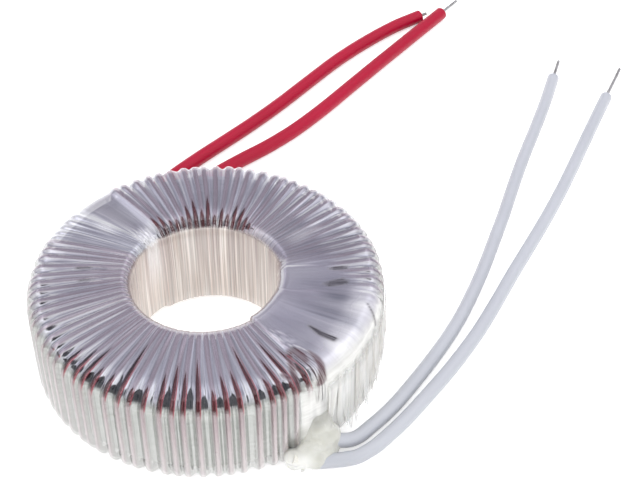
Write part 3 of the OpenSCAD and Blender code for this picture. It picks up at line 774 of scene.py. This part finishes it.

# What the finish reads: a run of film that leans as the turns do, the place round the section, how far the next wire is
# and on which side, how long its marks are, where the film is smooth, blistered or crumpled, and where it has painted
# bright and dark patches
lean_off = np.interp(place, [0, 1, 2, 3, 4], [0, 0, turn_lean, turn_lean, turn_pitch])
run = np.cumsum(np.hypot(*np.diff(np.vstack([film_line[-1:], film_line])[:, :2], axis=0).T))[row]
written(film, "flow", np.stack([64 * np.cos(np.radians(angle + lean_off)), 64 * np.sin(np.radians(angle + lean_off)),
                                run], axis=1))
rim_back = back_rim * between(place, 1.93, 2.04) * (1 - between(place, 2.2, 2.28)) * (1 - gap)
for title, value in (
        ("place", place), ("off_wire", off_wire), ("smooth", in_pad), ("rim_back", rim_back),
        ("even", np.maximum(np.maximum(gap * upper, lifted), in_pad)), ("blister", np.clip(blisters * 2.2, 0, 1)),
        ("crumpled", crumpled), ("flame_long", flame_long), ("tooth_long", tooth_long), ("off_shade", off_shade),
        ("shade_long", shade_long), ("clinging_and_dark_reflection", clinging_and_dark_reflection), ("at_wall", at_wall), ("side", side), ("painted_sheen_and_shade", painted_sheen_and_shade)):
    written(film, title, value)
film.data.update()
bpy.ops.object.shade_smooth()

clear, shader, spot = finish("wrap_film")


def drawn(spot, title, output="Fac"):
    """What was written on the piece's points under a title."""
    return step(spot.id_data, "ShaderNodeAttribute", attribute_name=title).outputs[output]


flow_at = drawn(spot, "flow", "Vector")
where = drawn(spot, "place")
off = drawn(spot, "off_wire")
smooth = drawn(spot, "smooth")
blistered = drawn(spot, "blister")
crumple = drawn(spot, "crumpled")
even = drawn(spot, "even")
cloudy = grouped(mottle, Vector=spot, Scale=70.0, Detail=1.5)[0]
broad_line, broad_soft = grouped(streaks, Vector=flow_at, Across=0.75, Along=0.035, Detail=1.5)
fine_line, fine_soft = grouped(streaks, Vector=flow_at, Across=2.2, Along=0.08, Detail=1.0)
lap_line = grouped(streaks, Vector=flow_at, Across=0.12, Along=4.5)[0]
on_top = all_of(ranged(where, 0.80, 0.90), ranged(where, 2.16, 2.3, 1.0, 0.0))
in_hole = all_of(ranged(where, 2.18, 2.26), ranged(where, 2.95, 3.1, 1.0, 0.0))
unsmooth = ranged(smooth, 0.0, 0.6, 1.0, 0.0)
on_wall = ranged(where, 0.78, 0.86, 1.0, 0.0)
wire_under = ranged(sum_up("SUBTRACT", off, all_of(on_wall, 0.02)), 0.30, 0.58, 1.0, 0.0)
wire_edge = all_of(ranged(off, 0.36, 0.62, 1.0, 0.0), ranged(off, 0.12, 0.38))


def tapered(start, length, direction, away, half_width):
    """A mask beside each wire that is widest at start and runs to a point after the wire's own length."""
    gone = sum_up("DIVIDE", all_of(sum_up("SUBTRACT", where, start), direction), length)
    ahead = sum_up("MAXIMUM", gone, 0.0)
    width = sum_up("SUBTRACT", half_width, all_of(ahead, ahead, half_width - 0.05))
    inside = sum_up("MULTIPLY", sum_up("SUBTRACT", width, away), 7.0, clamped=True)
    return all_of(inside, sum_up("LESS_THAN", gone, 1.0), sum_up("GREATER_THAN", gone, -0.5))


side = drawn(spot, "side")
beside = sum_up("ABSOLUTE", sum_up("ADD", side, 0.07), 0.0)
flame = all_of(tapered(0.88, drawn(spot, "flame_long"), 1.0, beside, 0.46), ranged(where, 0.77, 0.82))
# Painted highlight: a pink-red lit edge along one side of each turn in the flames, with less gloss over it.
lit_edge_long = sum_up("MULTIPLY", drawn(spot, "flame_long"), 1.35)
lit_wire_edge = all_of(tapered(0.88, lit_edge_long, 1.0, off, 0.57), ranged(side, 0.24, 0.38), ranged(where, 0.70, 0.78))
tooth = all_of(tapered(2.10, drawn(spot, "tooth_long"), -1.0, off, 0.54), ranged(where, 2.20, 2.26, 1.0, 0.0))
# Painted shade: beside some turns at the front the wrap is made nearly clear, so the dark-painted top below shows as
# shade between the turns.
shade_gap_mask = all_of(tapered(0.89, drawn(spot, "shade_long"), 1.0, drawn(spot, "off_shade"), 0.74),
               ranged(where, 0.81, 0.85))
bare_wire = all_of(sum_up("MAXIMUM", sum_up("MAXIMUM", flame, tooth), shade_gap_mask), unsmooth)

calm_tone = layered(blended(cloudy, (0.66, 0.65, 0.74), (0.97, 0.97, 1.0)),
                    (all_of(fine_line, 0.22), (0.55, 0.53, 0.62)))
# Painted highlights and shade: the bright and dark patches laid on the top's colour
painted_sheen_and_shade = drawn(spot, "painted_sheen_and_shade")
ragged = ranged(fine_soft, 0.15, 0.75, 0.55, 1.0)
# Painted reflection: the top's colour runs in lighter and darker streaks along the flow, with fine white lines,
# standing in for the highlights and dark lines that the ridged film mirrors.
top_tone = layered(
    blended(broad_line, (0.90, 0.91, 1.0), (0.64, 0.65, 0.73)),
    (all_of(fine_line, 0.35), (0.98, 0.97, 1.0)), (all_of(wire_under, 0.40), (0.68, 0.52, 0.60)), (even, calm_tone),
    (all_of(ranged(painted_sheen_and_shade, -1.0, -0.1, 0.85, 0.0), ragged), (0.34, 0.35, 0.42)),
    (all_of(ranged(painted_sheen_and_shade, 0.1, 1.0), ragged), 1.0))
# Painted light: the wall is lighter towards the floor, standing in for the white floor's light on it.
floor_lit_wall = ranged(where, 0.10, 0.62, 1.0, 0.0)
wire_shade = all_of(ranged(side, -0.72, -0.50), ranged(side, -0.34, -0.18, 1.0, 0.0), on_wall)
smooth_wall = sum_up("MAXIMUM", smooth, drawn(spot, "at_wall"))
wall_tone = layered(
    blended(lap_line, (0.52, 0.54, 0.51), (0.68, 0.70, 0.68)),
    (wire_under, (0.50, 0.43, 0.44)), (all_of(wire_shade, 0.75), (0.22, 0.18, 0.19)),
    (all_of(floor_lit_wall, 0.75), (0.92, 0.92, 0.91)),
    (smooth_wall, blended(lap_line, (0.78, 0.78, 0.75), (0.93, 0.93, 0.90))))
hole_tone = layered(
    blended(fine_line, (0.74, 0.64, 0.58), (1.0, 0.99, 0.95)),
    (all_of(broad_soft, ranged(where, 2.3, 2.7, 0.7, 0.1)), (0.66, 0.57, 0.56)))
cling_and_dark_reflection = all_of(drawn(spot, "clinging_and_dark_reflection"), ranged(fine_line, 0.1, 0.8, 1.0, 0.68))
# The purple-grey colour away from the pad's lead side is a painted dark reflection; the maroon on the lead side is what
# shows where the film clings.
beside_pad = ranged(along(spot, "Y"), -0.0212, -0.0202, 1.0, 0.0)
under = blended(beside_pad, (0.045, 0.038, 0.052), (0.075, 0.008, 0.018))
glint = all_of(drawn(spot, "rim_back"), ranged(fine_line, 0.80, 0.95, 0.0, 0.65))
tone = layered(
    blended(on_top, wall_tone, top_tone),
    (in_hole, hole_tone), (all_of(crumple, 0.7), (0.98, 0.98, 1.0)), (cling_and_dark_reflection, under),
    (lit_wire_edge, (0.52, 0.085, 0.12)), (glint, 1.0))
cover = layered(
    blended(on_top, 0.62, 0.66),
    (in_hole, blended(fine_soft, 0.66, 0.95)), (all_of(wire_under, on_wall, ranged(where, 0.72, 0.60)), 0.78),
    (all_of(wire_edge, 0.5), 0.42), (all_of(drawn(spot, "rim_back"), ranged(fine_soft, 0.3, 0.8, 1.0, 0.35)), 0.20),
    (bare_wire, 0.07), (all_of(smooth_wall, 0.75), 0.88), (crumple, 0.85),
    (all_of(blistered, ranged(fine_line, 0.25, 0.6, 1.0, 0.0)), 0.12), (cling_and_dark_reflection, 0.80), (lit_wire_edge, 0.62),
    (glint, 0.9), (all_of(ranged(painted_sheen_and_shade, 0.1, 1.0, 0.0, 0.8), on_top), 0.88))
metal = layered(
    blended(on_top, 0.70, 0.92),
    (in_hole, 0.22), (lit_wire_edge, 0.3), (cling_and_dark_reflection, 0.1), (all_of(ranged(painted_sheen_and_shade, 0.1, 1.0, 0.0, 0.65), on_top), 0.2),
    (all_of(smooth_wall, ranged(where, 0.80, 1.25, 1.0, 0.0)), 0.20), (all_of(crumple, 0.5), 0.2))
# Painted light: the film in the hole glows faintly, standing in for light reaching into the hole, and glows less just
# under the rim as painted shade.
painted_hole_glow = layered(
    blended(fine_soft, (0.08, 0.069, 0.065), (0.19, 0.172, 0.155)),
    (all_of(ranged(where, 2.26, 2.60, 1.0, 0.0), ranged(broad_soft, 0.2, 0.8, 0.4, 1.0)), (0.03, 0.022, 0.026)))
relief = blended(sum_up("MAXIMUM", on_top, in_hole), all_of(lap_line, 0.55), fine_line)
relief = all_of(relief, ranged(even, 0.0, 1.0, 1.0, 0.15))
feed(shader, {
    "Base Color": tone, "Alpha": cover, "Metallic": metal, "IOR": 1.6, "Normal": raised(relief, 0.00003, 0.3),
    "Roughness": sum_up("ADD", ranged(broad_soft, 0.0, 1.0, 0.04, 0.12), all_of(even, 0.05)),
    "Emission Color": blended(in_hole, (0, 0, 0), painted_hole_glow), "Emission Strength": 1.0})
film.data.materials.append(clear)
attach(film, "root")
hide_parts("outer_wrap")

# ---- Joints under the wrap ----
# Where each winding's end is soldered to its lead, a short tube of woven glass sleeving is slipped over the joint.
# The four tubes lie under the wrap and run into the glue.

sleeve, shader, spot = finish("sleeve")
weave = step(spot.id_data, "ShaderNodeTexChecker", {
    "Vector": spot, "Scale": 3200.0, "Color1": (0.78, 0.76, 0.70, 1), "Color2": (0.92, 0.90, 0.84, 1)})
feed(shader, {
    "Base Color": weave.outputs["Color"], "Normal": raised(weave.outputs["Fac"], 0.00004), "Roughness": 0.6})
for node in ("white_lead_1_joint", "white_lead_2_joint", "red_lead_1_joint", "red_lead_2_joint"):
    carried(node, sleeve)

# ---- Glue at the exits ----
# Hot-melt glue run round each pair of leads where they leave the wrap, so that a pull can't reach the joints. It is
# milky where it is thick, thins out up the wall, and has left some crumbs beside the white leads.

glue, shader, spot = finish("glue")
tone = grouped(mottle, Vector=spot, Scale=420.0, Detail=6.0)[0]
high = along(spot, "Z")
melt = blended(tone, (0.55, 0.55, 0.50), (0.65, 0.65, 0.605))
# Painted light: the foot of the lump beside white lead 2 is painted paler low down, washing out its shade.
lit_glue_foot = all_of(ranged(along(spot, "X"), 0.0148, 0.0170, 1.0, 0.0), ranged(high, 0.0035, 0.0060, 1.0, 0.0))
melt = blended(lit_glue_foot, melt, (0.80, 0.80, 0.77))
feed(shader, {
    "Base Color": melt, "Alpha": ranged(high, 0.0072, 0.0108, 1.0, 0.25),
    "Roughness": ranged(tone, 0.0, 1.0, 0.16, 0.34),
    "Normal": raised(tone, 0.00012, 0.6), "Subsurface Weight": 0.8,
    "Subsurface Radius": (0.004, 0.004, 0.0035), "Coat Weight": 0.4})


def lump(name, node, blobs, seed):
    """Balls of melt run together into one skin, with the ripples that it sets with."""
    balls = []
    for x, y, z, r in blobs:
        bpy.ops.mesh.primitive_uv_sphere_add(segments=24, ring_count=14, radius=r * mm,
                                             location=(x * mm, y * mm, z * mm))
        balls.append(bpy.context.active_object)
    made = joined(balls, balls[-1], name)
    bpy.ops.object.transform_apply(location=True, rotation=True, scale=True)
    applied(made, "skin", "REMESH", mode="VOXEL", voxel_size=0.16 * mm)
    applied(made, "ease", "SMOOTH", factor=0.6, iterations=45)
    pick = np.random.RandomState(seed)
    shift = pick.uniform(0, 6, 6)
    for vertex in made.data.vertices:
        p = vertex.co / mm
        bump = (math.sin(2.1 * p.x + shift[0]) * math.sin(2.4 * p.y + shift[1])
                + math.sin(2.9 * p.z + 1.7 * p.x + shift[2]) + 0.5 * math.sin(5.1 * p.y - 3.3 * p.z + shift[3]))
        moved = vertex.co + vertex.normal * 0.035 * mm * bump
        moved.z = max(moved.z, 0.02 * mm)
        vertex.co = moved
    bpy.ops.object.shade_smooth()
    made.data.materials.append(glue)
    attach(made, "root")
    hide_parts(node)
    return made


white_glue = lump("white_glue_lump", "white_exit_glue", [
    (17.6, -27.7, 2.4, 2.6), (17.3, -27.3, 4.4, 2.8), (18.8, -26.8, 3.8, 2.9), (16.9, -26.8, 6.6, 2.3),
    (18.0, -26.2, 6.6, 2.3), (16.9, -26.4, 8.6, 2.0), (18.0, -25.8, 8.8, 1.9), (16.2, -28.2, 2.2, 2.5),
    (15.8, -28.3, 4.4, 1.9), (19.6, -26.9, 2.2, 2.3), (17.8, -28.6, 2.0, 2.6), (18.8, -28.0, 1.9, 2.4),
    (12.5, -30.5, 3.3, 1.55), (13.3, -30.6, 3.1, 1.65),
    (14.2, -30.6, 2.8, 1.7), (15.1, -30.5, 2.4, 1.75), (16.0, -30.5, 2.1, 1.8), (16.9, -30.3, 1.9, 1.9),
    (12.9, -30.3, 1.4, 1.5), (14.4, -30.1, 1.4, 1.6), (15.8, -29.6, 1.4, 1.7), (14.8, -29.5, 3.3, 1.7),
    (17.6, -28.9, 4.0, 1.9), (16.6, -29.4, 4.1, 1.8), (15.7, -29.9, 4.2, 1.75), (14.9, -30.2, 4.2, 1.6)], 3)
lump("red_glue_lump", "red_exit_glue", [
    (-29.1, 16.6, 3.6, 1.9), (-27.9, 19.2, 6, 1.9), (-25.2, 22.6, 5, 2.2), (-26.6, 21.2, 2.3, 2.2),
    (-28.0, 19.0, 3.4, 2.2)], 8)

# Crumbs of old melt at the foot of the wall
pick = np.random.RandomState(5)
bpy.ops.object.select_all(action="DESELECT")
crumbs = []
for i in range(14):
    at, out = pick.uniform(-67.0, -59.5), pick.uniform(32.6, 34.6)
    size = pick.uniform(0.25, 0.55)
    place_at = polar(at, out, size * 0.7 + (1.6 if i % 3 == 0 and out < 34 else 0.0))
    bpy.ops.mesh.primitive_ico_sphere_add(subdivisions=2, radius=size * mm, location=place_at)
    crumb = bpy.context.active_object
    bpy.ops.object.transform_apply(location=True, rotation=True, scale=True)
    shift = pick.uniform(0, 6, 3)
    for vertex in crumb.data.vertices:
        p = (vertex.co - place_at) / mm
        squash = 1 + 0.35 * math.sin(5 * p.x / size + shift[0]) * math.sin(4 * p.y / size + shift[1])
        vertex.co = place_at + (vertex.co - place_at) * squash
        vertex.co.z = max(vertex.co.z, 0.02 * mm)
    crumb.data.materials.append(glue)
    crumbs.append(crumb)
joined(crumbs + [white_glue], white_glue, "white_glue_lump")
bpy.ops.object.shade_smooth()

# ---- Loose film at the lead side ----
# Where the last turns of the wrap were cut by hand, narrow ends of film stand a little off the wall beside the
# white leads, creased along their length and cut to points.

pick = np.random.RandomState(21)
loose = []
for at, wide, high, low, lift in [
        (-52, 3.0, 17.5, 7.0, 0.05), (-48, 3.2, 18.0, 4.0, 0.10), (-43.8, 3.3, 18.2, 1.6, 0.20),
        (-39.4, 3.4, 18.0, 2.6, 0.25), (-35, 3.2, 18.4, 1.8, 0.30), (-30.6, 3.4, 18.2, 4.0, 0.30),
        (-26.2, 3.3, 18.4, 2.8, 0.25), (-21.8, 3.4, 18.2, 5.5, 0.20), (-17.4, 3.3, 18.4, 4.0, 0.15),
        (-13, 3.2, 18.0, 7.0, 0.10), (-8.6, 3.4, 18.2, 6.0, 0.05)]:
    bpy.ops.object.select_all(action="DESELECT")
    bpy.ops.mesh.primitive_grid_add(x_subdivisions=12, y_subdivisions=30, size=2.0, location=(0, 0, 0))
    strip = bpy.context.active_object
    shift = pick.uniform(0, 6, 4)
    for vertex in strip.data.vertices:
        u, t = vertex.co.x, (1 - vertex.co.y) / 2
        narrow = (1 - 0.6 * t ** 6) * (1 - 0.25 * math.sin(2.0 * t + shift[0]) ** 2)
        z = high + (low - high) * t * (1 - 0.16 * u * math.sin(shift[1]) - 0.05 * math.sin(6 * u + shift[3]))
        crease = 0.14 * math.sin(5.0 * u + shift[2] + 1.5 * t) + 0.06 * math.sin(9 * u + 4 * t + shift[3])
        wall_r = 32.6 if z < 16.9 else 29.5 + math.sqrt(max(0.0, 9.6 - (z - 16.9) ** 2))
        r = wall_r + 0.22 + lift * t ** 1.3 + crease * (0.3 + 0.7 * t)
        a = math.radians(at + (u * wide / 2 * narrow + 0.4 * math.sin(2.2 * t + shift[1])) / ring_r * 57.3)
        vertex.co = Vector((r * math.cos(a), r * math.sin(a), max(z, 0.1))) * mm
    written(strip, "run_down", [(high - v.co.z / mm) / (high - low) for v in strip.data.vertices])
    loose.append(strip)
loose = joined(loose, loose[0], "loose_film")
applied(loose, "body", "SOLIDIFY", thickness=0.04 * mm)
bpy.ops.object.shade_smooth()

cut_film, shader, spot = finish("loose_film")
fine_line, fine_soft = grouped(streaks, Vector=spot, Across=420.0, Along=50.0, Detail=1.5)
feed(shader, {"Base Color": blended(fine_line, (0.84, 0.81, 0.76), (1.0, 1.0, 0.98))})
starting = ranged(drawn(spot, "run_down"), 0.02, 0.30)
fading = ranged(along(spot, "Z"), 0.002, 0.011, 0.35, 1.0)
feed(shader, {
    "Alpha": all_of(ranged(fine_soft, 0.0, 1.0, 0.42, 0.75), fading, starting),
    "Roughness": ranged(fine_line, 0.0, 1.0, 0.10, 0.22),
    "Normal": raised(fine_line, 0.00006), "Subsurface Weight": 0.1})
loose.data.materials.append(cut_film)
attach(loose, "root")
